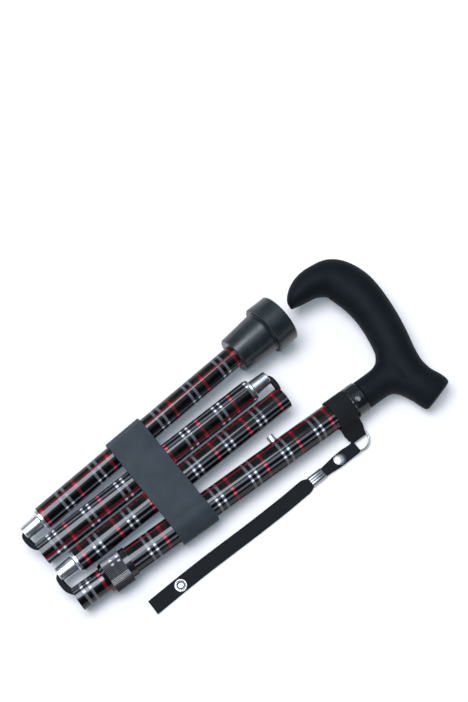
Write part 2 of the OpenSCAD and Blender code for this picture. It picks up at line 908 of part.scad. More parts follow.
module upper_middle_tube() {
    color([0.12, 0.09, 0.10])
        on_row(upper_row)
            pipe(section_len, lower_tube_d, tube_id);
}

module upper_middle_spigot() {
    color([0.80, 0.80, 0.82])
        on_row(upper_row)
            mirror([0, 0, 1])
                spigot();
}

module upper_middle_socket() {
    color([0.20, 0.20, 0.21])
        on_row(upper_row, section_len)
            mirror([0, 0, 1])
                socket();
}

module upper_middle_cord() {
    from = loop_in + free_gap - spigot_out;
    color([0.04, 0.04, 0.05])
        on_row(upper_row, from)
            cord_run(section_len - loop_bend_r - free_gap - from);
}

module cord_loop_middle() {
    end = upper_row.x + section_len;
    color([0.04, 0.04, 0.05])
        cord_loop([end - loop_bend_r, upper_row.y], [section_len + spigot_out - loop_in, lower_row.y], 1);
}

module lower_middle_tube() {
    color([0.12, 0.09, 0.10])
        on_row(lower_row)
            pipe(section_len, lower_tube_d, tube_id);
}

module lower_middle_spigot() {
    color([0.80, 0.80, 0.82])
        on_row(lower_row, section_len)
            spigot();
}

module lower_middle_socket() {
    color([0.20, 0.20, 0.21])
        on_row(lower_row)
            socket();
}

module lower_middle_cord() {
    from = loop_bend_r + free_gap;
    color([0.04, 0.04, 0.05])
        on_row(lower_row, from)
            cord_run(section_len + spigot_out - loop_in - free_gap - from);
}

module cord_loop_foot() {
    tip = row_point(foot_row, loop_in - spigot_out);
    color([0.04, 0.04, 0.05])
        cord_loop([loop_bend_r, lower_row.y], tip, -1);
}

module foot_tube() {
    color([0.12, 0.09, 0.10])
        on_row(foot_row)
            pipe(foot_tube_len, lower_tube_d, tube_id);
}

module foot_spigot() {
    color([0.80, 0.80, 0.82])
        on_row(foot_row)
            mirror([0, 0, 1])
                spigot();
}

// cord in the foot section, knotted behind its anchor
module foot_cord() {
    from = loop_in + free_gap - spigot_out;
    color([0.04, 0.04, 0.05])
        on_row(foot_row) {
            translate([0, 0, from])
                cord_run(foot_anchor_at + anchor_t + knot_d - from);
            translate([0, 0, foot_anchor_at + anchor_t + knot_d / 2 + fit])
                sphere(d = knot_d);
        }
}

module cord_anchor_foot() {
    color([0.60, 0.60, 0.58])
        on_row(foot_row, foot_anchor_at)
            anchor_washer();
}

module foot_washer() {
    color([0.60, 0.60, 0.62])
        on_row(foot_row, foot_tube_len)
            cylinder(d = lower_tube_d, h = foot_washer_t);
}

// rubber foot: flared neck, wide flange, and a sole with tread rings
module rubber_foot() {
    tread = foot_sole_d / 2 * tread_share;
    color([0.09, 0.10, 0.10])
        on_row(foot_row)
            rotate_extrude()
                polygon([
                    [lower_tube_d / 2 + fit, foot_mouth],
                    [foot_mouth_d / 2 - foot_edge, foot_mouth],
                    [foot_mouth_d / 2, foot_mouth + foot_edge],
                    [foot_neck_d / 2, foot_flange_at - foot_groove],
                    [foot_neck_d / 2 - foot_edge, foot_flange_at - foot_groove / 2],
                    [foot_neck_d / 2, foot_flange_at],
                    [foot_flange_d / 2 - foot_edge, foot_flange_at],
                    [foot_flange_d / 2, foot_flange_at + foot_edge],
                    [foot_sole_d / 2, foot_end - foot_edge],
                    [foot_sole_d / 2 - foot_edge, foot_end],
                    [4 * tread, foot_end],
                    [4 * tread, foot_end - tread_depth],
                    [3 * tread, foot_end - tread_depth],
                    [3 * tread, foot_end],
                    [2 * tread, foot_end],
                    [2 * tread, foot_end - tread_depth],
                    [tread, foot_end - tread_depth],
                    [tread, foot_end],
                    [0, foot_end],
                    [0, foot_tube_len + foot_washer_t + fit],
                    [lower_tube_d / 2 + fit, foot_tube_len + foot_washer_t + fit]
                ]);
}

// springy clip that holds the four rows together: a flat plate whose ends wrap the outer tubes
module holder_clip() {
    inside = lower_tube_d / 2 + clip_gap;
    foot_s = (clip_at - foot_row.x) / cos(foot_row.z);
    top_s = (clip_at - top_row.x) / cos(top_row.z);
    foot_y = row_point(foot_row, foot_s + clip_w / 2).y;
    top_y = row_point(top_row, top_s + clip_w / 2).y;
    deep = upper_d + clip_t;
    color([0.20, 0.23, 0.26])
        difference() {
            intersection() {
                union() {
                    lie()
                        translate([clip_at, top_y, inside])
                            cube([clip_w, foot_y - top_y, clip_t]);
                    on_row(foot_row, foot_s - cut)
                        cylinder(r = inside + clip_t, h = clip_w + 2 * cut);
                    on_row(top_row, top_s - cut)
                        cylinder(r = upper_d / 2 + clip_gap + clip_t, h = clip_w + 2 * cut);
                }
                lie()
                    translate([clip_at, top_y - deep, -clip_lip])
                        cube([clip_w, foot_y - top_y + 2 * deep, clip_lip + deep]);
            }
            on_row(foot_row, foot_s - 2 * cut)
                cylinder(r = inside, h = clip_w + 4 * cut);
            on_row(top_row, top_s - 2 * cut)
                cylinder(d = upper_d + 2 * clip_gap, h = clip_w + 4 * cut);
            lie()
                translate([clip_at - cut, top_y, -clip_lip - cut])
                    cube([clip_w + 2 * cut, foot_y - top_y, clip_lip + cut + inside]);
        }
}

handle_grip();
handle_stem();
handle_collar();
handle_pin();
upper_tube();
lock_collet();
lock_ring();
strap_band();
d_ring();
strap_tab();
snap_cap();
strap_crimp();
strap_webbing();
snap_socket();
inner_tube();
guide_bush();
inner_socket();
snap_button();
button_spring();
cord_anchor_top();
cord_top();
cord_loop_top();
upper_middle_tube();
upper_middle_spigot();
upper_middle_socket();
upper_middle_cord();
cord_loop_middle();
lower_middle_tube();
lower_middle_spigot();
lower_middle_socket();
lower_middle_cord();
cord_loop_foot();
foot_tube();
foot_spigot();
foot_cord();
cord_anchor_foot();
foot_washer();
rubber_foot();
holder_clip();
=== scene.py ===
import json
import math

import bpy
from mathutils import Matrix, Vector


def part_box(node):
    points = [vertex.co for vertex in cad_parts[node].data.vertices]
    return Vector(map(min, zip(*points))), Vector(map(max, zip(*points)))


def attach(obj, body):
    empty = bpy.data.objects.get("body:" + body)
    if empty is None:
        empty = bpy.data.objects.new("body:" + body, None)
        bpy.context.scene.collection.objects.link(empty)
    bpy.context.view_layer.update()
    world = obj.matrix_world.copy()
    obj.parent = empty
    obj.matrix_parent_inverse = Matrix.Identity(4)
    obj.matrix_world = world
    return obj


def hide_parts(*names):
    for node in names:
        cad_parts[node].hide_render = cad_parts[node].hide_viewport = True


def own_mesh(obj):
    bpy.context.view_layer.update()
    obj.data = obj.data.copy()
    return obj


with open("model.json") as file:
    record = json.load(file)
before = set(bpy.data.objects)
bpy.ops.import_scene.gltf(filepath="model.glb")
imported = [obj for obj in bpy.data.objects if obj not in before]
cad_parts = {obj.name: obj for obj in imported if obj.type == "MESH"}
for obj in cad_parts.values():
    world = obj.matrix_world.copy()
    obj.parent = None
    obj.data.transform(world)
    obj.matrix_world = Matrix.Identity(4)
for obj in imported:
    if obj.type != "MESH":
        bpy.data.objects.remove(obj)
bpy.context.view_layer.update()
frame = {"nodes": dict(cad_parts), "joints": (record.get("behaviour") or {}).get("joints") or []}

# Camera.
# The picture is taken from above and in front of the folded end, with a normal lens. The camera is placed
# in the plane of the fold, which the rubber foot and the handle tilt a little off the table.
MM = 0.001
joints = {joint["name"]: joint for joint in frame["joints"]}
upright = Vector(joints["fold_upper"]["axis"]).normalized()
along = -Vector(joints["seat_upper"]["axis"]).normalized()
across = upright.cross(along).normalized()
right_fold_at = (184.0, -8.7)
fold_plane = Matrix((along, across, upright)).transposed().to_4x4()
fold_plane.translation = (
    Vector(joints["fold_middle"]["pos_m"]) - along * right_fold_at[0] * MM - across * right_fold_at[1] * MM
)
look_at = (178.4, 28.4)
view_azimuth = math.radians(-39.25)
view_elevation = math.radians(70.5)
view_distance = 716.0
focal_length = 54.9

level_reach = math.cos(view_elevation)
toward_camera = Vector((
    level_reach * math.sin(view_azimuth),
    -level_reach * math.cos(view_azimuth),
    math.sin(view_elevation),
))
view_right = Vector((math.cos(view_azimuth), math.sin(view_azimuth), 0))
view_up = toward_camera.cross(view_right)
eye = Vector((*look_at, 0)) + toward_camera * view_distance
camera_place = Matrix((view_right, view_up, toward_camera)).transposed().to_4x4()
camera_place.translation = eye * MM
camera_data = bpy.data.cameras.new("camera")
camera_data.lens = focal_length
camera = bpy.data.objects.new("camera", camera_data)
camera.matrix_world = fold_plane @ camera_place
scene = bpy.context.scene
scene.collection.objects.link(camera)
scene.camera = camera
scene.view_settings.view_transform = "Standard"


# Table.
# A matt white table under one wide soft lamp that looks straight down. To the eye and in reflections its
# shadows are a little blue, and it stays white, with the shadow kept, where the lamp's light falls off.
def feed(tree, socket, value):
    """Sets a socket to a number or a colour, or links it to another node's output."""
    if isinstance(value, tuple):
        socket.default_value = (*value, 1)
    elif isinstance(value, (int, float)):
        socket.default_value = value
    else:
        tree.links.new(value, socket)


def math_node(tree, operation, *values):
    node = tree.nodes.new("ShaderNodeMath")
    node.operation = operation
    for socket, value in zip(node.inputs, values):
        feed(tree, socket, value)
    return node.outputs[0]


def mix_colour(tree, factor, first, second):
    node = tree.nodes.new("ShaderNodeMix")
    node.data_type = "RGBA"
    for socket, value in ((0, factor), (6, first), (7, second)):
        feed(tree, node.inputs[socket], value)
    return node.outputs[2]


def plain_material(name, colour, roughness, metallic=0.0, specular=0.5):
    """A material with one Principled shader, and that shader."""
    material = bpy.data.materials.new(name)
    material.use_nodes = True
    shader = material.node_tree.nodes["Principled BSDF"]
    shader.inputs["Base Color"].default_value = (*colour, 1)
    shader.inputs["Roughness"].default_value = roughness
    shader.inputs["Metallic"].default_value = metallic
    shader.inputs["Specular IOR Level"].default_value = specular
    return material, shader


lamp_place = (-0.19, 0.195, 1.0)
lamp_falloff = -4.0
floor_half = 3.0
floor_drop = 0.0002
floor_colour = (0.865, 0.79, 0.755)
shadow_glow = (0.0, 0.035, 0.070)
far_glow = (0.86, 0.88, 0.90)
floor_corners = [(x * floor_half, y * floor_half, 0) for x, y in ((-1, -1), (1, -1), (1, 1), (-1, 1))]
floor_mesh = bpy.data.meshes.new("table")
floor_mesh.from_pydata(floor_corners, [], [(0, 1, 2, 3)])
floor = bpy.data.objects.new("table", floor_mesh)
floor.location.z = -floor_drop
scene.collection.objects.link(floor)
floor_material, floor_shader = plain_material("white table", floor_colour, 0.9, specular=0.1)
floor_mesh.materials.append(floor_material)
floor_tree = floor_material.node_tree
floor_view = floor_tree.nodes.new("ShaderNodeLightPath")
floor_seen = floor_view.outputs["Is Camera Ray"]
for ray in ("Is Glossy Ray", "Is Transmission Ray"):
    floor_seen = math_node(floor_tree, "MAXIMUM", floor_seen, floor_view.outputs[ray])
feed(floor_tree, floor_shader.inputs["Emission Strength"], floor_seen)
floor_place = floor_tree.nodes.new("ShaderNodeTexCoord")
floor_reach = floor_tree.nodes.new("ShaderNodeVectorMath")
floor_reach.operation = "DISTANCE"
floor_reach.inputs[1].default_value = lamp_place
feed(floor_tree, floor_reach.inputs[0], floor_place.outputs["Object"])
# a lamp that looks down lights the table by the fourth power of height over distance
floor_lit = math_node(floor_tree, "POWER", floor_reach.outputs["Value"], lamp_falloff)
floor_glow = mix_colour(floor_tree, floor_lit, far_glow, shadow_glow)
feed(floor_tree, floor_shader.inputs["Emission Color"], floor_glow)


# Room and lamp.
# The room is dim and bluish, paler behind the table than on the camera's side, its ceiling paler still. A
# low white backdrop stands round the table, and the camera sees no more of the room than that.
def split(tree, vector):
    """The parts X, Y and Z of a vector."""
    node = tree.nodes.new("ShaderNodeSeparateXYZ")
    feed(tree, node.inputs[0], vector)
    return node.outputs


def map_range(tree, value, low, high, to_low=0.0, to_high=1.0, smooth=False):
    """A value stretched from one range to another and kept inside it."""
    node = tree.nodes.new("ShaderNodeMapRange")
    if smooth:
        node.interpolation_type = "SMOOTHSTEP"
    sockets = ("Value", "From Min", "From Max", "To Min", "To Max")
    for socket, given_value in zip(sockets, (value, low, high, to_low, to_high)):
        feed(tree, node.inputs[socket], given_value)
    return node.outputs["Result"]


room_colour = (0.80, 0.91, 1.0)
white = (1.0, 1.0, 1.0)
room_depth = 0.6
front_level = 0.04
back_level = 0.26
ceiling_from = 0.78
ceiling_full = 0.97
ceiling_level = 0.72
backdrop_full = 0.08
backdrop_top = 0.20
backdrop_level = 1.0
world = bpy.data.worlds.new("studio")
world.use_nodes = True
scene.world = world
room = world.node_tree
room_direction = room.nodes.new("ShaderNodeTexCoord")
room_way = split(room, room_direction.outputs["Generated"])
front_to_back = map_range(room, room_way["Y"], -room_depth, room_depth, front_level, back_level)
ceiling = map_range(room, room_way["Z"], ceiling_from, ceiling_full, 0.0, ceiling_level, smooth=True)
room_level = math_node(room, "ADD", front_to_back, ceiling)
backdrop = map_range(room, room_way["Z"], backdrop_top, backdrop_full, smooth=True)
room_view = room.nodes.new("ShaderNodeLightPath")
white_share = math_node(room, "MAXIMUM", backdrop, room_view.outputs["Is Camera Ray"])
room_strength = room.nodes.new("ShaderNodeMix")
for socket, value in ((0, white_share), (2, room_level), (3, backdrop_level)):
    feed(room, room_strength.inputs[socket], value)
background = room.nodes["Background"]
feed(room, background.inputs["Strength"], room_strength.outputs[0])
feed(room, background.inputs["Color"], mix_colour(room, white_share, room_colour, white))

lamp_side = 0.62
lamp_turn = 45
lamp_watts = 11.8
lamp_colour = (0.83, 0.90, 1.0)
lamp_data = bpy.data.lights.new("key softbox", "AREA")
lamp_data.shape = "SQUARE"
lamp_data.size = lamp_side
lamp_data.energy = lamp_watts
lamp_data.color = lamp_colour
key = bpy.data.objects.new("key softbox", lamp_data)
key.location = lamp_place
key.rotation_euler.z = math.radians(lamp_turn)
scene.collection.objects.link(key)


# Tartan tubes.
# Each section is a thin aluminium tube under a glossy printed tartan: black ground, pairs of white lines
# and a single red line, both ways, so that crossings come out brighter than single lines.
def new_group(name, inputs, outputs):
    """An empty node group with sockets of the given kinds, its inputs and its results."""
    group = bpy.data.node_groups.new(name, "ShaderNodeTree")
    for way, sockets in (("INPUT", inputs), ("OUTPUT", outputs)):
        for socket, kind in sockets.items():
            group.interface.new_socket(socket, in_out=way, socket_type=f"NodeSocket{kind}")
    group_in = group.nodes.new("NodeGroupInput")
    group_out = group.nodes.new("NodeGroupOutput")
    return group, group_in.outputs, group_out.inputs


ground = (0.0022, 0.0024, 0.003)
green_ground = (0.0030, 0.0085, 0.0055)
white_line = (0.155, 0.16, 0.18)
white_cross = (0.90, 0.92, 0.96)
red_line = (0.105, 0.005, 0.011)
red_cross = (0.45, 0.010, 0.030)
red_on_white = (0.78, 0.13, 0.20)
red_under_white = (0.14, 0.045, 0.055)
bare_metal = (0.80, 0.81, 0.83)
sett = 26.4 * MM
line_width = 1.8 * MM
thin_line_width = 1.35 * MM
red_width = 2.1 * MM
green_width = 9.5 * MM
twill_pitch = 0.7 * MM
twill_share = 0.3
white_gap_long = 4.6 * MM
white_gap_round = 3.5 * MM
red_from_white = 12.6 * MM
line_edge_share = 0.008
no_seam = -10.0


def stripe(tree, turns, centre, width):
    """1 on a line of the given width at centre, in repeats, 0 elsewhere."""
    shifted = math_node(tree, "SUBTRACT", turns, centre - 0.5)
    offset = math_node(tree, "ABSOLUTE", math_node(tree, "SUBTRACT", math_node(tree, "FRACT", shifted), 0.5))
    return map_range(tree, offset, width / 2 + line_edge_share, width / 2 - line_edge_share, smooth=True)


def off_axis(tree, spot):
    """Distance from a tube's axis."""
    squares = [math_node(tree, "POWER", spot[name], 2.0) for name in ("Y", "Z")]
    return math_node(tree, "SQRT", math_node(tree, "ADD", *squares))


print_sizes = ("Repeat", "Shift", "Radius", "Turn", "Twist", "Seam", "Skin")
tartan, given, result = new_group(
    "printed tartan",
    {"Vector": "Vector", **dict.fromkeys(print_sizes, "Float")},
    {"Color": "Color", "Metallic": "Float"},
)
spot = split(tartan, given["Vector"])
tube_radius = math_node(tartan, "ABSOLUTE", given["Radius"])
from_start = math_node(tartan, "SUBTRACT", spot["X"], given["Shift"])
length_turns = math_node(tartan, "DIVIDE", from_start, given["Repeat"])
angle = math_node(tartan, "ARCTAN2", spot["Z"], spot["Y"])
twisted = math_node(tartan, "SUBTRACT", angle, math_node(tartan, "MULTIPLY", spot["X"], given["Twist"]))
arc = math_node(tartan, "MULTIPLY", math_node(tartan, "SUBTRACT", twisted, given["Turn"]), given["Radius"])
round_turns = math_node(tartan, "DIVIDE", arc, sett)
whites = []
reds = []
greens = []
for turns, gap, width in (
    (length_turns, white_gap_long, line_width),
    (round_turns, white_gap_round, thin_line_width),
):
    pair = [stripe(tartan, turns, start / sett, width / sett) for start in (0.0, gap)]
    whites.append(math_node(tartan, "MAXIMUM", *pair))
    reds.append(stripe(tartan, turns, red_from_white / sett, red_width / sett))
    greens.append(stripe(tartan, turns, red_from_white / sett, green_width / sett))
# where the print's edges meet along the tube, one more white line runs
from_seam = math_node(tartan, "ABSOLUTE", math_node(tartan, "SUBTRACT", twisted, given["Seam"]))
seam_reach = math_node(tartan, "MULTIPLY", from_seam, tube_radius)
on_seam = math_node(tartan, "LESS_THAN", seam_reach, line_width / 2)
whites[1] = math_node(tartan, "MAXIMUM", whites[1], on_seam)
pinks = [math_node(tartan, "MULTIPLY", whites[i], reds[1 - i]) for i in (0, 1)]
# single lines are hatched like a twill, so that the ground shows between their threads
thread_turns = math_node(tartan, "ADD", spot["X"], arc)
threads = math_node(tartan, "SINE", math_node(tartan, "MULTIPLY", thread_turns, 2 * math.pi / twill_pitch))
hatch = math_node(tartan, "MULTIPLY_ADD", threads, twill_share, 1 - twill_share)
single_white = math_node(tartan, "MULTIPLY", math_node(tartan, "MAXIMUM", *whites), hatch)
colour = ground
for share, ink in (
    (math_node(tartan, "MULTIPLY", *greens), green_ground),
    (single_white, white_line),
    (math_node(tartan, "MAXIMUM", *reds), red_line),
    (math_node(tartan, "MULTIPLY", *whites), white_cross),
    (math_node(tartan, "MULTIPLY", *reds), red_cross),
    (pinks[0], red_under_white),
    (pinks[1], red_on_white),
):
    colour = mix_colour(tartan, share, colour, ink)
# the print covers only the outside: cut ends and bores show the aluminium
print_reach = math_node(tartan, "SUBTRACT", tube_radius, given["Skin"])
bare = math_node(tartan, "LESS_THAN", off_axis(tartan, spot), print_reach)
feed(tartan, result["Color"], mix_colour(tartan, bare, colour, bare_metal))
feed(tartan, result["Metallic"], bare)


def placed(material, location, turn):
    """A material's coordinates in a frame with the given place and turn."""
    tree = material.node_tree
    where = tree.nodes.new("ShaderNodeTexCoord")
    mapping = tree.nodes.new("ShaderNodeMapping")
    mapping.vector_type = "TEXTURE"
    mapping.inputs["Location"].default_value = location
    mapping.inputs["Rotation"].default_value = turn.to_euler()
    feed(tree, mapping.inputs["Vector"], where.outputs["Object"])
    return mapping.outputs["Vector"]


def tube_turn(axis):
    """The turn of a frame with X along a tube's axis, Y across the fold and Z up."""
    side = upright.cross(axis).normalized()
    return Matrix((axis, side, axis.cross(side))).transposed()


def tube_space(material, node, axis):
    """A material's coordinates along, across and above a tube's axis, from the tube's middle."""
    low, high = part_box(node)
    return placed(material, (low + high) / 2, tube_turn(axis))


def paint(node, material, angle=40):
    """Gives a CAD node its material, with smooth shading up to the given angle between faces."""
    mesh = frame["nodes"][node].data
    mesh.materials.clear()
    mesh.materials.append(material)
    mesh.shade_smooth()
    mesh.set_sharp_from_angle(angle=math.radians(angle))


def tartan_material(node, axis, **values):
    """The print on one tube: Repeat and Radius are negative where the print runs the other way."""
    material, shader = plain_material(f"tartan {node}", ground, 0.5, specular=0.0)
    tree = material.node_tree
    print_node = tree.nodes.new("ShaderNodeGroup")
    print_node.node_tree = tartan
    feed(tree, print_node.inputs["Vector"], tube_space(material, node, axis))
    for name, value in values.items():
        print_node.inputs[name].default_value = value
    feed(tree, shader.inputs["Base Color"], print_node.outputs["Color"])
    feed(tree, shader.inputs["Metallic"], print_node.outputs["Metallic"])
    shader.inputs["Coat Weight"].default_value = 1.0
    shader.inputs["Coat Roughness"].default_value = 0.08
    shader.inputs["Coat IOR"].default_value = 1.45
    return material, shader


top_along = -Vector(joints["height_adjust"]["axis"]).normalized()
foot_along = -Vector(joints["seat_lower"]["axis"]).normalized()
lower_radius = 8.0 * MM
upper_radius = 9.5 * MM
film = 0.25 * MM
# the print's repeat and shift along each tube in mm, its radius, its turn in degrees, its twist in radians
# per metre and the angle of its seam, where that shows
for node, axis, repeat, shift, radius, turn, twist, seam in (
    ("foot_tube", foot_along, 26.5, -77.9, -lower_radius, 173, 1.4, no_seam),
    ("lower_middle_tube", along, 26.4, -75.2, lower_radius, 46, 1.4, math.radians(151)),
    ("upper_middle_tube", along, -26.1, -66.8, -lower_radius, 133, 1.5, no_seam),
    ("inner_tube", top_along, 26.4, -82.0, -lower_radius, 88, 0.0, no_seam),
    ("upper_tube", top_along, 25.95, -70.8, -upper_radius, 122, 0.0, no_seam),
):
    lengthwise = {"Repeat": repeat * MM, "Shift": shift * MM}
    roundwise = {"Radius": radius, "Turn": math.radians(turn), "Twist": twist, "Seam": seam}
    tube_print, _ = tartan_material(node, axis, Skin=film, **lengthwise, **roundwise)
    paint(node, tube_print)

# Lock ring.
# A ribbed plastic ring with the same tartan printed over its ribs, screwed on the collet. The ribs scatter
# the light, so the print looks grey and only its white crossings stay clear: that grey is painted sheen over
# the dark print on the ribs, and the grooves between the ribs are painted darker than their ridges.
rib_top = 11.2 * MM
rib_foot = 10.8 * MM
cone_top = 10.7 * MM
ring_skin = 2.8 * MM
ring_print_shift = 1.15 * MM
ring_print_turn = math.radians(73)
# painted sheen of the ribs over the dark print, and painted shade in the grooves between them
rib_painted_sheen = (0.165, 0.155, 0.180)
groove_painted_shade = (0.010, 0.008, 0.011)
sheen_share = 0.7
sheen_range = (0.2, 0.6)
clear_share = 0.75
clear_range = (0.3, 0.7)
ridge_power = 1.5
lengthwise = {"Repeat": sett, "Shift": ring_print_shift}
roundwise = {"Radius": -rib_top, "Turn": ring_print_turn, "Twist": 0.0, "Seam": no_seam}
lock_material, lock_shader = tartan_material(
    "lock_ring", top_along, Skin=ring_skin, **lengthwise, **roundwise
)
lock_tree = lock_material.node_tree
lock_print = lock_shader.inputs["Base Color"].links[0].from_socket
print_level = lock_tree.nodes.new("ShaderNodeRGBToBW")
feed(lock_tree, print_level.inputs[0], lock_print)
print_light = print_level.outputs[0]
lock_spot = split(lock_tree, tube_space(lock_material, "lock_ring", top_along))
lock_reach = off_axis(lock_tree, lock_spot)
on_cone = math_node(lock_tree, "LESS_THAN", lock_reach, cone_top)
# painted sheen: where the print is dark, the ribs are painted grey for the light they scatter
sheen_on_ribs = map_range(lock_tree, print_light, *sheen_range, sheen_share, 0.0)
on_ribs = math_node(lock_tree, "SUBTRACT", 1.0, on_cone)
print_under_sheen = mix_colour(lock_tree, math_node(lock_tree, "MULTIPLY", sheen_on_ribs, on_ribs), lock_print, rib_painted_sheen)
# painted light and shade: ridges lighter and grooves darker by distance from the axis, white crossings and
# cones left clear
ridge = math_node(lock_tree, "POWER", map_range(lock_tree, lock_reach, rib_foot, rib_top), ridge_power)
clear = map_range(lock_tree, print_light, *clear_range, 0.0, clear_share)
lit_share = math_node(lock_tree, "MAXIMUM", math_node(lock_tree, "MAXIMUM", ridge, clear), on_cone)
ring_colour = mix_colour(lock_tree, lit_share, groove_painted_shade, print_under_sheen)
feed(lock_tree, lock_shader.inputs["Base Color"], ring_colour)
lock_shader.inputs["Coat Roughness"].default_value = 0.12
paint("lock_ring", lock_material, 25)

# Spigots and height button.
# Turned brass, chromed and polished: each spigot has a flange that stops on the tube and a tapered nose, and
# the button springs into a hole of the upper tube. Handling leaves the polish a little uneven.
finish_group, given, result = new_group(
    "uneven finish",
    {"Vector": "Vector", "Scale": "Float", "Low": "Float", "High": "Float"},
    {"Value": "Float", "Height": "Float"},
)
patch_range = (0.32, 0.68)
patches = finish_group.nodes.new("ShaderNodeTexNoise")
patches.inputs["Detail"].default_value = 3.0
for name in ("Vector", "Scale"):
    feed(finish_group, patches.inputs[name], given[name])
patch_height = patches.outputs[0]
feed(
    finish_group,
    result["Value"],
    map_range(finish_group, patch_height, *patch_range, given["Low"], given["High"]),
)
feed(finish_group, result["Height"], patch_height)


def uneven(material, patch, low, high):
    """The uneven finish with patches of the given size in mm, as a node of a material."""
    tree = material.node_tree
    where = tree.nodes.new("ShaderNodeTexCoord")
    node = tree.nodes.new("ShaderNodeGroup")
    node.node_tree = finish_group
    node.inputs["Scale"].default_value = 1 / (patch * MM)
    node.inputs["Low"].default_value = low
    node.inputs["High"].default_value = high
    feed(tree, node.inputs["Vector"], where.outputs["Object"])
    return node


def uneven_roughness(material, shader, patch, low, high):
    node = uneven(material, patch, low, high)
    feed(material.node_tree, shader.inputs["Roughness"], node.outputs["Value"])


chrome, chrome_shader = plain_material("polished chrome", (0.74, 0.76, 0.79), 0.12, metallic=1.0)
uneven_roughness(chrome, chrome_shader, patch=6.0, low=0.26, high=0.36)
for node in ("foot_spigot", "lower_middle_spigot", "upper_middle_spigot", "snap_button"):
    paint(node, chrome, 30)

# Hidden steel pieces and the pin.
# Washers, leaf spring and rivet with a plain rolled finish: the washers hold the cord's knots, the spring
# presses the height button out, and the rivet goes through collar, tube and stem.
steel, steel_shader = plain_material("rolled steel", (0.42, 0.43, 0.45), 0.3, metallic=1.0)
uneven_roughness(steel, steel_shader, patch=2.0, low=0.24, high=0.4)
for node in ("handle_pin", "button_spring", "cord_anchor_top", "cord_anchor_foot", "foot_washer"):
    paint(node, steel, 30)

# Bushes, stem, collet and collar.
# Moulded black nylon, pressed or screwed on the tube ends. The collet and the collar, which show, are
# moulded with a gloss.
nylon, nylon_shader = plain_material("black nylon", (0.02, 0.02, 0.022), 0.45)
uneven_roughness(nylon, nylon_shader, patch=1.5, low=0.38, high=0.55)
for node in ("inner_socket", "upper_middle_socket", "lower_middle_socket", "guide_bush", "handle_stem"):
    paint(node, nylon)
gloss, gloss_shader = plain_material("gloss black", (0.010, 0.012, 0.015), 0.12)
uneven_roughness(gloss, gloss_shader, patch=3.0, low=0.07, high=0.16)
for node in ("handle_collar", "lock_collet"):
    paint(node, gloss)


# Elastic cord.
# Rubber strands in a black braided sleeve, knotted behind a washer at each end and stretched through all
# four sections. At each fold it loops from tube to tube.
def uneven_colour(material, shader, patch, first, second):
    tree = material.node_tree
    node = uneven(material, patch, 0.0, 1.0)
    feed(tree, shader.inputs["Base Color"], mix_colour(tree, node.outputs["Value"], first, second))


def in_fold(x, y, z=0.0):
    """A point of the plane of the fold, in mm from the lower middle section's mouth."""
    return fold_plane @ (Vector((x, y, z)) * MM)


def smooth_path(points, steps):
    """A soft curve through the given points."""
    ends = [points[0] * 2 - points[1], *points, points[-1] * 2 - points[-2]]
    curve = []
    for i in range(1, len(ends) - 2):
        p, q, r, t = ends[i - 1 : i + 3]
        for k in range(steps):
            u = k / steps
            curve.append(
                q + (r - p) * (u / 2) + (p * 2 - q * 5 + r * 4 - t) * (u * u / 2)
                + (q * 3 - p - r * 3 + t) * (u * u * u / 2)
            )
    curve.append(points[-1].copy())
    return curve


def wall(rings, sides, first=0, closed=False):
    """Faces from each ring of points to the next, with end caps unless the last ring meets the first."""
    faces = []
    for i in range(rings if closed else rings - 1):
        low = first + i * sides
        high = first + (i + 1) % rings * sides
        for k in range(sides):
            after = (k + 1) % sides
            faces.append((low + k, low + after, high + after, high + k))
    if not closed:
        faces.append(tuple(reversed(range(first, first + sides))))
        faces.append(tuple(range(first + (rings - 1) * sides, first + rings * sides)))
    return faces


def new_object(name, verts, faces, material):
    mesh = bpy.data.meshes.new(name)
    mesh.from_pydata([tuple(v) for v in verts], [], faces)
    mesh.materials.append(material)
    mesh.shade_smooth()
    made = bpy.data.objects.new(name, mesh)
    scene.collection.objects.link(made)
    return made


cord_dark = (0.004, 0.0045, 0.0055)
cord_light = (0.010, 0.011, 0.013)
cord_black, cord_shader = plain_material("braided cord", (0.006, 0.0065, 0.008), 0.7, specular=0.2)
uneven_colour(cord_black, cord_shader, 0.5, cord_dark, cord_light)
for node in ("cord_top", "upper_middle_cord", "lower_middle_cord", "foot_cord"):
    paint(node, cord_black)

# the sleeve is braided: two sets of strands wind round it in opposite senses; it swells a little where it
# crosses from tube to tube
cord_radius = 1.65 * MM
cord_swell_share = 0.2
braid_depth = 0.12 * MM
braid_strands = 6
braid_pitch = 7.0 * MM
loop_sides = 36
loop_steps = 14


def braided_loop(name, points):
    path = smooth_path([in_fold(*p) for p in points], loop_steps)
    verts = []
    run = 0.0
    for i, here in enumerate(path):
        ahead = (path[min(i + 1, len(path) - 1)] - path[max(i - 1, 0)]).normalized()
        side = upright.cross(ahead).normalized()
        run += (here - path[i - 1]).length if i else 0.0
        wind = 2 * math.pi * run / braid_pitch
        swell = 1 + cord_swell_share * abs(ahead.dot(across))
        for k in range(loop_sides):
            t = 2 * math.pi * k / loop_sides
            strand = max(math.sin(braid_strands * (t + wind)), math.sin(braid_strands * (t - wind)))
            radius = cord_radius * swell - braid_depth * (1 - strand) / 2
            verts.append(here + (side * math.cos(t) + upright * math.sin(t)) * radius)
    return new_object(name, verts, wall(len(path), loop_sides), cord_black)


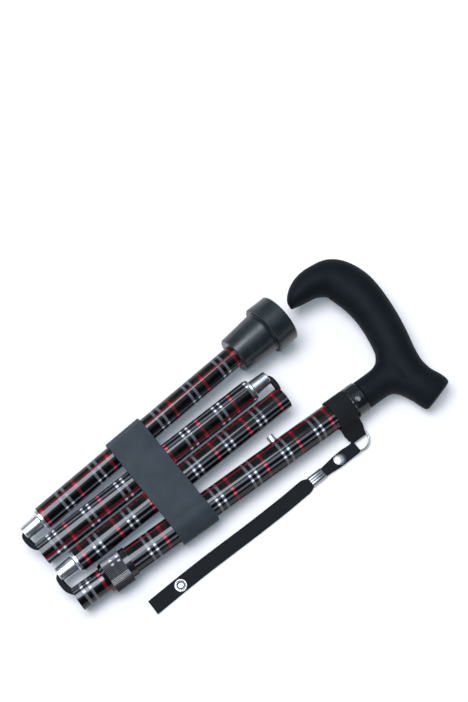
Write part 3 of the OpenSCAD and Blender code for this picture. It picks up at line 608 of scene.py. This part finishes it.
# each loop comes out of a spigot's hole and goes back into the next section's mouth; it rides with one of
# the two, and its leg at the other end is long enough to slide in its tube. Its route is given in mm out of
# the tubes and as shares of the way from hole to mouth.
short_leg = 12.0
long_leg = 21.0
loop_route = [
    (-2.4, 0.0), (-0.4, 0.02), (0.8, 0.10), (1.2, 0.22), (1.25, 0.36), (0.95, 0.52), (-0.1, 0.66),
    (-2.4, 0.80), (-6.0, 0.88),
]
leg_in_mouth = [(-short_leg, 0.95), (-long_leg, 0.98)]
leg_in_spigot = [(-long_leg, 0.0), (-short_leg, 0.0)]
top_mouth_at = (0.6, -36.6)
for name, node, body, joint, spigot_at, mouth_at, out, held_at in (
    ("foot_loop", "cord_loop_foot", "foot_section", "fold_lower", (-1.4, 17.2), (0.0, 0.0), -1, "spigot"),
    (
        "middle_loop", "cord_loop_middle", "upper_middle_section", "fold_middle",
        (183.5, 0.0), (183.5, -17.4), 1, "mouth",
    ),
    (
        "top_loop", "cord_loop_top", "upper_middle_section", "fold_upper",
        (0.0, -17.4), top_mouth_at, -1, "spigot",
    ),
):
    route = [*loop_route, *leg_in_mouth] if held_at == "spigot" else [*leg_in_spigot, *loop_route]
    points = []
    for reach, share in route:
        base = spigot_at[0] + (mouth_at[0] - spigot_at[0]) * share
        points.append((base + out * reach, spigot_at[1] + (mouth_at[1] - spigot_at[1]) * share))
    loop = braided_loop(name, points)
    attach(loop, body)
    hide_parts(node)
    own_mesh(loop)


# Rubber foot.
# Moulded in black rubber and pushed over the end of the foot tube. Handling leaves it a little cloudy, and
# the mould a fine grain.
def relief(material, shader, height, depth):
    """Bumps of the given depth in mm."""
    tree = material.node_tree
    bump = tree.nodes.new("ShaderNodeBump")
    bump.inputs["Distance"].default_value = depth * MM
    feed(tree, bump.inputs["Height"], height)
    feed(tree, shader.inputs["Normal"], bump.outputs[0])


def grain(material, shader, patch, depth):
    """Fine grain of the given size and depth in mm."""
    relief(material, shader, uneven(material, patch, 0.0, 1.0).outputs["Height"], depth)


rubber_dark = (0.0095, 0.0140, 0.0165)
rubber_light = (0.0165, 0.0225, 0.0260)
rubber, rubber_shader = plain_material("foot rubber", (0.018, 0.021, 0.022), 0.5, specular=0.55)
uneven_colour(rubber, rubber_shader, 6.0, rubber_dark, rubber_light)
uneven_roughness(rubber, rubber_shader, patch=26.0, low=0.24, high=0.40)
grain(rubber, rubber_shader, patch=1.6, depth=0.03)
paint("rubber_foot", rubber)

# Holder clip.
# Moulded in springy slate-grey plastic with a satin face and rounded edges: a flat plate whose ends wrap the
# outer tubes, snapped over all four rows.
slate_dark = (0.026, 0.034, 0.042)
slate_light = (0.040, 0.050, 0.061)
clip_grey, clip_shader = plain_material("slate clip", (0.031, 0.039, 0.049), 0.6, specular=0.2)
uneven_colour(clip_grey, clip_shader, 16.0, slate_dark, slate_light)
grain(clip_grey, clip_shader, patch=0.35, depth=0.012)
clip_from = 72.6
clip_wide = 27.0
clip_thick = 1.6
clip_edge = 0.45
edge_steps = 4
lip_tuck_share = 0.55
foot_row_at = (13.6, 17.9)
foot_row_slope = math.tan(math.radians(2.65))
foot_round = 9.2
foot_lip_angles = [-28, -26, *range(-20, 26, 9)]
shoulder_angle = math.radians(62)
plate_steps = 10
top_row_slope = math.tan(math.radians(3.2))
top_round = 10.7
crease_angle = math.radians(60)
top_lip_angles = [*range(70, 201, 10), 202, 204]


def lip(centre, radius, angles):
    """A lip round a tube: across, up and outward direction at each of the angles."""
    line = []
    for angle in angles:
        c, d = math.cos(math.radians(angle)), math.sin(math.radians(angle))
        line.append((centre + radius * c, radius * d, c, d))
    return line


def clip_line(x):
    """The clip's middle line at one place along the tubes: across, up, and its outward direction."""
    foot_y = foot_row_at[1] + (x - foot_row_at[0]) * foot_row_slope
    top_y = top_mouth_at[1] - (x - top_mouth_at[0]) * top_row_slope
    line = lip(foot_y, foot_round, foot_lip_angles)
    plate_start = foot_y + foot_round / 2
    line.append((plate_start, foot_round, math.cos(shoulder_angle), math.sin(shoulder_angle)))
    plate_end = top_y + top_round * math.cos(crease_angle)
    for k in range(1, plate_steps):
        line.append((plate_start + (plate_end - plate_start) * k / plate_steps, foot_round, 0.0, 1.0))
    half_way = (crease_angle + math.pi / 2) / 2
    line.append((plate_end, top_round * math.sin(crease_angle), math.cos(half_way), math.sin(half_way)))
    return line + lip(top_y, top_round, top_lip_angles)


clip_ring = []
for side_x, side_h, start in ((1, 1, 0), (-1, 1, 90), (-1, -1, 180), (1, -1, 270)):
    for k in range(edge_steps + 1):
        t = math.radians(start + 90 * k / edge_steps)
        offset = side_x * (clip_wide / 2 - clip_edge) + clip_edge * math.cos(t)
        height = side_h * (clip_thick / 2 - clip_edge) + clip_edge * math.sin(t)
        x = clip_from + clip_wide / 2 + offset
        clip_ring.append((x, height, clip_line(x)))
clip_stations = len(clip_ring[0][2])
clip_verts = []
for i in range(clip_stations):
    tuck = lip_tuck_share if i in (0, clip_stations - 1) else 1.0
    for x, height, line in clip_ring:
        y, z, out_y, out_z = line[i]
        clip_verts.append(in_fold(x, y + out_y * height * tuck, z + out_z * height * tuck))
# the line runs against the sense of its outline, so the faces are turned to look outward
clip_faces = [(face[0], *reversed(face[1:])) for face in wall(clip_stations, len(clip_ring))]
clip = new_object("clip", clip_verts, clip_faces, clip_grey)
clip.data.set_sharp_from_angle(angle=math.radians(27))
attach(clip, "holder_clip")
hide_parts("holder_clip")

# Handle.
# A derby handle moulded in dark plastic with a soft-touch skin, on a stem in the upper tube. Grip and neck
# are one moulding, so their two forms are joined and smoothed where they meet.
touch_dark = (0.0050, 0.0076, 0.0100)
touch_light = (0.0070, 0.0102, 0.0130)
soft_touch, grip_shader = plain_material("soft touch", (0.008, 0.0115, 0.015), 0.6, specular=0.09)
uneven_colour(soft_touch, grip_shader, 14.0, touch_dark, touch_light)
grain(soft_touch, grip_shader, patch=0.3, depth=0.012)
# stations of the grip from its hooked end to its heel, then of its neck: reach along the cane and place
# across it, half depth and half thickness, in mm
grip_stations = [
    (1.2, 78.0, 1.9, 4.0), (1.8, 78.2, 2.8, 5.0), (6.0, 80.3, 5.9, 8.1), (13.0, 82.4, 8.7, 10.1),
    (21.1, 83.3, 10.4, 11.3), (28.3, 81.8, 11.9, 12.1), (34.8, 79.0, 13.8, 12.3), (39.5, 73.3, 14.7, 12.6),
    (42.9, 63.8, 15.0, 12.6), (44.2, 54.4, 14.4, 12.6), (44.2, 43.3, 13.6, 12.6), (42.8, 30.9, 13.2, 12.3),
    (40.4, 19.3, 13.0, 12.3), (37.4, 7.5, 12.7, 12.3), (35.9, -4.2, 12.4, 12.1), (37.3, -15.4, 12.3, 11.8),
    (39.8, -22.7, 13.0, 11.1), (41.3, -27.4, 12.9, 10.2), (41.9, -29.3, 12.3, 9.4), (42.1, -30.0, 11.0, 8.0),
]
neck_stations = [
    (0.0, 0.0, 10.2, 10.1), (14.0, 0.0, 10.2, 10.1), (18.1, 0.0, 10.8, 10.3), (21.6, -0.6, 12.7, 10.7),
    (24.6, -1.5, 16.6, 11.1), (27.1, -2.5, 21.6, 11.3), (29.5, -1.5, 26.7, 10.8), (35.1, -1.3, 20.4, 9.1),
]
neck_reach = 222.6
neck_place = in_fold(*top_mouth_at) + top_along * neck_reach * MM
top_across = upright.cross(top_along).normalized()
grip_sides = 40
grip_steps = 6
grip_voxel = 1.1 * MM
grip_relax = 14
grip_verts = []
grip_faces = []
for stations, follows in ((grip_stations, True), (neck_stations, False)):
    path = smooth_path([Vector(station) for station in stations], grip_steps)
    grip_faces += wall(len(path), grip_sides, first=len(grip_verts))
    for i, (reach, over, depth, thick) in enumerate(path):
        ahead = path[min(i + 1, len(path) - 1)] - path[max(i - 1, 0)]
        onward = (top_along * ahead[0] + top_across * ahead[1]).normalized() if follows else top_along
        beside = upright.cross(onward)
        centre = neck_place + (top_along * reach + top_across * over) * MM
        for k in range(grip_sides):
            t = 2 * math.pi * k / grip_sides
            grip_verts.append(centre + (beside * math.cos(t) * depth + upright * math.sin(t) * thick) * MM)
grip = new_object("handle", grip_verts, grip_faces, soft_touch)
remesh = grip.modifiers.new("remesh", "REMESH")
remesh.mode = "VOXEL"
remesh.voxel_size = grip_voxel
relax = grip.modifiers.new("relax", "SMOOTH")
relax.factor = 0.5
relax.iterations = grip_relax
shaped = bpy.data.meshes.new_from_object(grip.evaluated_get(bpy.context.evaluated_depsgraph_get()))
grip.modifiers.clear()
grip.data = shaped
grip.data.materials.clear()
grip.data.materials.append(soft_touch)
grip.data.shade_smooth()
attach(grip, "handle_section")
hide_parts("handle_grip")

# Elastic band.
# Black woven elastic, once round the upper tube, with both ends sewn together in a tab that holds the D
# ring's bar.
weave, given, result = new_group(
    "plain weave",
    {"Along": "Float", "Across": "Float", "Pitch": "Float"},
    {"Height": "Float"},
)
waves = []
for name in ("Along", "Across"):
    turns = math_node(weave, "DIVIDE", given[name], given["Pitch"])
    waves.append(math_node(weave, "SINE", math_node(weave, "MULTIPLY", turns, 2 * math.pi)))
checks = math_node(weave, "MULTIPLY", *waves)
feed(weave, result["Height"], math_node(weave, "MULTIPLY_ADD", checks, 0.5, 0.5))
# painted light and shade of the weave: the colour of the sunken threads and of the raised ones
yarn_painted_shade = (0.0075, 0.0082, 0.0095)
yarn_painted_light = (0.0135, 0.0148, 0.0168)
yarn_depth = 0.08


def woven(material, shader, along_socket, across_socket, pitch):
    """Threads over and under, bumped: the raised ones are painted lighter and the sunken ones darker, as
    painted light and shade.
    """
    tree = material.node_tree
    node = tree.nodes.new("ShaderNodeGroup")
    node.node_tree = weave
    node.inputs["Pitch"].default_value = pitch * MM
    feed(tree, node.inputs["Along"], along_socket)
    feed(tree, node.inputs["Across"], across_socket)
    height = node.outputs["Height"]
    feed(tree, shader.inputs["Base Color"], mix_colour(tree, height, yarn_painted_shade, yarn_painted_light))
    relief(material, shader, height, yarn_depth)


edge_points = 5


def ribbon(name, path, widths, offsets, side, thickness, material, closed=False):
    """A strip of webbing with rounded edges along a path; side is its width's direction."""
    verts = []
    count = len(path)
    for i, here in enumerate(path):
        if closed:
            ahead = path[(i + 1) % count] - path[i - 1]
        else:
            ahead = path[min(i + 1, count - 1)] - path[max(i - 1, 0)]
        up = side.cross(ahead).normalized()
        half = widths[i] / 2 - thickness / 2
        for edge in (1, -1):
            for k in range(edge_points):
                t = math.pi * k / (edge_points - 1)
                round_x = math.sin(t) * thickness / 2
                round_y = math.cos(t) * thickness / 2 * edge
                verts.append(here + side * (offsets[i] + edge * (half + round_x)) + up * round_y)
    made = new_object(name, verts, wall(count, 2 * edge_points, closed=closed), material)
    made.data.set_sharp_from_angle(angle=math.radians(50))
    return made


band_reach = 183.1
band_wide = 14.8
band_thick = 1.2
band_gap = 0.05
band_angles = range(-158, 177, 6)
band_steps = 2
band_pitch = 1.1
pinch = 3.1
pinch_from = 1.4
pinch_reach = 3.2
pinch_power = 1.5
bar_round = 1.75
bar_angles = range(0, 181, 20)
tab_root = Vector((-10.4, -2.6))
tab_end = 4.6
upper_layer = 0.75
lower_layer = 0.62
band_radius = upper_radius / MM + band_gap + band_thick / 2
bar_centre = Vector(joints["d_ring_swing"]["pos_m"])
tube_centre = Vector(joints["ring_turn"]["pos_m"]) + top_along * band_reach * MM
bar = Vector(((bar_centre - tube_centre).dot(top_across), (bar_centre - tube_centre).dot(upright))) / MM
tab_way = (bar - tab_root).normalized()
tab_up = Vector((tab_way.y, -tab_way.x))


def turned(first, second, angle):
    """A direction between two others, at an angle in degrees from the first."""
    return first * math.cos(math.radians(angle)) + second * math.sin(math.radians(angle))


# seen along the tube: round it, down the tab's upper layer, round the bar and back up the lower layer
around = [turned(Vector((1, 0)), Vector((0, 1)), angle) * band_radius for angle in band_angles]
tab_upper = [Vector((-10.75, -1.0)), Vector((-11.6, -2.2)), bar - tab_way * tab_end + tab_up * upper_layer]
round_bar = [bar + turned(tab_up, tab_way, angle) * bar_round for angle in bar_angles]
tab_lower = [bar - tab_way * tab_end - tab_up * lower_layer, Vector((-12.0, -4.5)), Vector((-10.6, -4.1))]
band_line = smooth_path([p.to_3d() for p in (*around, *tab_upper, *round_bar, *tab_lower)], band_steps)
band_path = [tube_centre + (top_across * p.x + upright * p.y) * MM for p in band_line]
band_widths = []
for p in band_line:
    off_bar = max(0.0, (p.to_2d() - bar).length - pinch_from)
    band_widths.append((band_wide - pinch * max(0.0, 1 - off_bar / pinch_reach) ** pinch_power) * MM)
level = [0.0] * len(band_path)
elastic, elastic_shader = plain_material("woven elastic", yarn_painted_shade, 0.85, specular=0.2)
elastic_tree = elastic.node_tree
band_x, band_y, band_z = split(elastic_tree, placed(elastic, tube_centre, tube_turn(top_along)))
band_angle = math_node(elastic_tree, "ARCTAN2", band_z, band_y)
band_arc = math_node(elastic_tree, "MULTIPLY", band_angle, band_radius * MM)
woven(elastic, elastic_shader, band_arc, band_x, band_pitch)
band = ribbon(
    "elastic_band", band_path, band_widths, level, top_along, band_thick * MM, elastic, closed=True
)
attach(band, "handle_section")
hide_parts("strap_band")

# Doubled webbing.
# Black woven webbing, folded round the D ring's leg, riveted by the snap cap and gathered in the crimp. It
# goes from the crimp over the leg and back under it.
strap_start = Vector(joints["strap_swing"]["pos_m"])
strap_angle = math.radians(179.2)
strap_along = Vector((math.cos(strap_angle), math.sin(strap_angle), 0))
strap_side = Vector((-math.sin(strap_angle), math.cos(strap_angle), 0))
strap_base = Vector((strap_start.x, strap_start.y, 0))
web_pitch = 1.2
webbing, web_shader = plain_material("black webbing", yarn_painted_shade, 0.85, specular=0.2)
web_space = placed(webbing, strap_base, Matrix.Rotation(strap_angle, 3, "Z"))
web_spot = split(webbing.node_tree, web_space)
woven(webbing, web_shader, web_spot["X"], web_spot["Y"], web_pitch)


def on_strap(x, z, side=0.0):
    """A point in the strap's own frame: along it from the D ring, up and to its side, in mm."""
    return strap_base + strap_along * x * MM + strap_side * side * MM + Vector((0, 0, z * MM))


def eased(t):
    t = min(1.0, max(0.0, t))
    return t * t * (3 - 2 * t)


web_thick = 1.15
web_low = 0.6
leg_z = strap_start.z / MM
leg_round = 1.75
leg_angles = range(-40, 221, 20)
fold_steps = 3
upper_run = [(31.4, 1.95), (26.5, 1.98), (22, 2.02), (17, 1.98), (12.2, 1.95), (8, 2.1), (4.6, 2.6)]
round_leg = [
    (-leg_round * math.sin(math.radians(angle)), leg_z + leg_round * math.cos(math.radians(angle)))
    for angle in leg_angles
]
lower_run = [(4.2, 0.75), (8, 0.62), (12.2, 0.62), (17, 0.62), (22, 0.62), (26.5, 0.62), (31.4, 0.62)]
fold_line = smooth_path([Vector((x, 0, z)) for x, z in (*upper_run, *round_leg, *lower_run)], fold_steps)
fold_path = [on_strap(p.x, max(p.z, web_low)) for p in fold_line]
leg_wide = 7.8
full_more = 0.9
full_from = 0.5
full_ease = 7.5
crimped_less = 2.3
crimped_from = 12.0
crimped_ease = 14.0
leg_shift = 0.5
fold_widths = []
fold_shifts = []
for p in fold_line:
    full = eased((p.x - full_from) / full_ease)
    crimped = eased((p.x - crimped_from) / crimped_ease)
    fold_widths.append((leg_wide + full_more * full - crimped_less * crimped) * MM)
    fold_shifts.append(leg_shift * (1 - full) * MM)
tab = ribbon("folded_webbing", fold_path, fold_widths, fold_shifts, strap_side, web_thick * MM, webbing)
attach(tab, "wrist_strap")
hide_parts("strap_tab")

# Long webbing.
# The same webbing, single, from the crimp to its square cut end. It lies loose on the table, a little wavy,
# and widens to its full width as it leaves the crimp.
long_from = 31.6
long_to = 164.9
long_stations = 90
loose_from = 37.0
sway = 0.5
sway_length = 128.0
sway_ease = 20.0
lie = 0.66
crimp_lift = 0.25
lift_ease = 26.0
ripple = 0.18
ripple_length = 15.0
ripple_from = 45.0
ripple_ease = 20.0
crimped_wide = 6.3
spread_more = 3.9
spread_from = 36.4
spread_ease = 5.5
long_path = []
long_widths = []
for i in range(long_stations):
    x = long_from + (long_to - long_from) * i / (long_stations - 1)
    loose = x - loose_from
    aside = sway * math.sin(loose / sway_length * 2 * math.pi) * eased(loose / sway_ease)
    rippled = ripple * math.sin(x / ripple_length) ** 2 * eased((x - ripple_from) / ripple_ease)
    lift = lie + crimp_lift * (1 - eased(loose / lift_ease)) + rippled
    long_path.append(on_strap(x, lift, aside))
    spread = math.sqrt(eased((x - spread_from) / spread_ease))
    long_widths.append((crimped_wide + spread_more * spread) * MM)
level = [0.0] * long_stations
strap = ribbon("long_webbing", long_path, long_widths, level, strap_side, web_thick * MM, webbing)
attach(strap, "wrist_strap")
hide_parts("strap_webbing")

# D ring.
# Nickel-plated wire bent to a ring: a straight bar in the band's tab, one leg in the fold of the webbing and
# a round bow between them.
nickel, nickel_shader = plain_material("plated nickel", (0.40, 0.405, 0.41), 0.25, metallic=1.0)
uneven_roughness(nickel, nickel_shader, patch=4.0, low=0.24, high=0.36)
wire_radius = 0.58
wire_sides = 14
wire_steps = 6
bar_way = top_along if (strap_start - bar_centre).dot(top_along) < 0 else -top_along
leg_way = top_across if (strap_start - bar_centre).dot(top_across) > 0 else -top_across
ring_up = bar_way.cross(leg_way)
bow = [
    (-2.0, 0.0), (2.0, 0.0), (5.2, 0.0), (6.3, 0.35), (6.6, 1.6), (6.3, 3.8), (5.4, 5.8), (3.9, 7.6),
    (1.9, 8.8), (-0.4, 9.4), (-2.9, 9.3), (-5.0, 8.4), (-6.3, 6.7), (-6.5, 4.6), (-6.5, 2.0), (-6.2, 0.35),
    (-5.2, 0.0),
]
bow_points = [bar_centre + (bar_way * x + leg_way * y) * MM for x, y in bow]
bow_with_ends = [bow_points[-1], *bow_points, bow_points[0], bow_points[1]]
closed_bow = smooth_path(bow_with_ends, wire_steps)[wire_steps : -wire_steps - 1]
wire_verts = []
for i, here in enumerate(closed_bow):
    ahead = (closed_bow[(i + 1) % len(closed_bow)] - closed_bow[i - 1]).normalized()
    beside = ring_up.cross(ahead).normalized()
    for k in range(wire_sides):
        t = 2 * math.pi * k / wire_sides
        wire_verts.append(here + (beside * math.cos(t) + ring_up * math.sin(t)) * wire_radius * MM)
ring = new_object("ring_wire", wire_verts, wall(len(closed_bow), wire_sides, closed=True), nickel)
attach(ring, "d_ring")
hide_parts("d_ring")

# Snap fastener.
# Nickel-plated pressings: a domed cap riveted through the doubled webbing, and near the free end a socket
# that it snaps into, with a rolled rim round a hollow stud.
lathe_sides = 48


def lathed(name, profile, centre):
    """A round piece on the strap, turned from a profile of radius and height in mm."""
    verts = []
    for radius, height in profile:
        for k in range(lathe_sides):
            t = 2 * math.pi * k / lathe_sides
            verts.append(centre + Vector((radius * math.cos(t), radius * math.sin(t), height)) * MM)
    made = new_object(name, verts, wall(len(profile), lathe_sides), nickel)
    made.data.set_sharp_from_angle(angle=math.radians(40))
    return made


cap_at = 12.21
dome_radius = 3.7
dome_base = 3.12
dome_rise = 0.6
dome_angles = range(6, 88, 9)
dome = [
    (dome_radius * math.cos(math.radians(angle)), dome_base + dome_rise * math.sin(math.radians(angle)))
    for angle in dome_angles
]
cap_profile = [
    (1.2, 0.05), (1.2, 2.55), (4.0, 2.55), (4.2, 2.72), (4.2, 2.95), (4.05, 3.1), (3.85, dome_base),
    *dome, (0.1, 3.73),
]
socket_at = 143.0
socket_profile = [
    (1.2, 0.05), (1.2, 1.32), (4.0, 1.32), (4.2, 1.5), (4.2, 1.8), (4.0, 2.15), (3.65, 2.3), (3.3, 2.2),
    (3.1, 2.05), (2.85, 2.1), (2.7, 2.5), (2.45, 2.85), (2.1, 3.0), (1.8, 2.9), (1.65, 2.6), (1.6, 1.7),
    (0.9, 1.7), (0.7, 2.1), (0.1, 2.15),
]
for name, profile, place, node in (
    ("snap_dome", cap_profile, cap_at, "snap_cap"),
    ("snap_ring", socket_profile, socket_at, "snap_socket"),
):
    snap = lathed(name, profile, on_strap(place, 0.0))
    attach(snap, "wrist_strap")
    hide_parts(node)

# Crimp.
# A nickel-plated plate rolled round the webbing, which it gathers, with two lengthwise ridges and a groove
# between them. Its ends are rounded over.
crimp_from = 26.0
crimp_to = 37.0
crimp_half = 3.82
crimp_steps = 12
crimp_foot = 0.06
crimp_top = 3.05
ridge_rise = 0.42
ridge_pitch = 3.3
shoulder_from = 2.9
shoulder_drop = 1.5
end_rounding = [(0.0, 0.22), (0.12, 0.08), (0.35, 0.0)]
crimp_section = [(-crimp_half, crimp_foot)]
for k in range(2 * crimp_steps + 1):
    v = crimp_half * (k / crimp_steps - 1)
    shoulder = max(0.0, abs(v) - shoulder_from) / (crimp_half - shoulder_from)
    rise = ridge_rise * (1 - math.cos(2 * math.pi * v / ridge_pitch)) / 2
    crimp_section.append((v, crimp_top + rise - shoulder_drop * shoulder * shoulder))
crimp_section.append((crimp_half, crimp_foot))
crimp_stations = [(crimp_from + x, inset) for x, inset in end_rounding]
crimp_stations += [(crimp_to - x, inset) for x, inset in reversed(end_rounding)]
crimp_verts = []
for x, inset in crimp_stations:
    for v, z in crimp_section:
        top = z if z == crimp_foot else z - inset
        crimp_verts.append(on_strap(x, top, v * (crimp_half - inset) / crimp_half))
crimp = new_object("crimp", crimp_verts, wall(len(crimp_stations), len(crimp_section)), nickel)
crimp.data.set_sharp_from_angle(angle=math.radians(45))
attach(crimp, "wrist_strap")
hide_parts("strap_crimp")
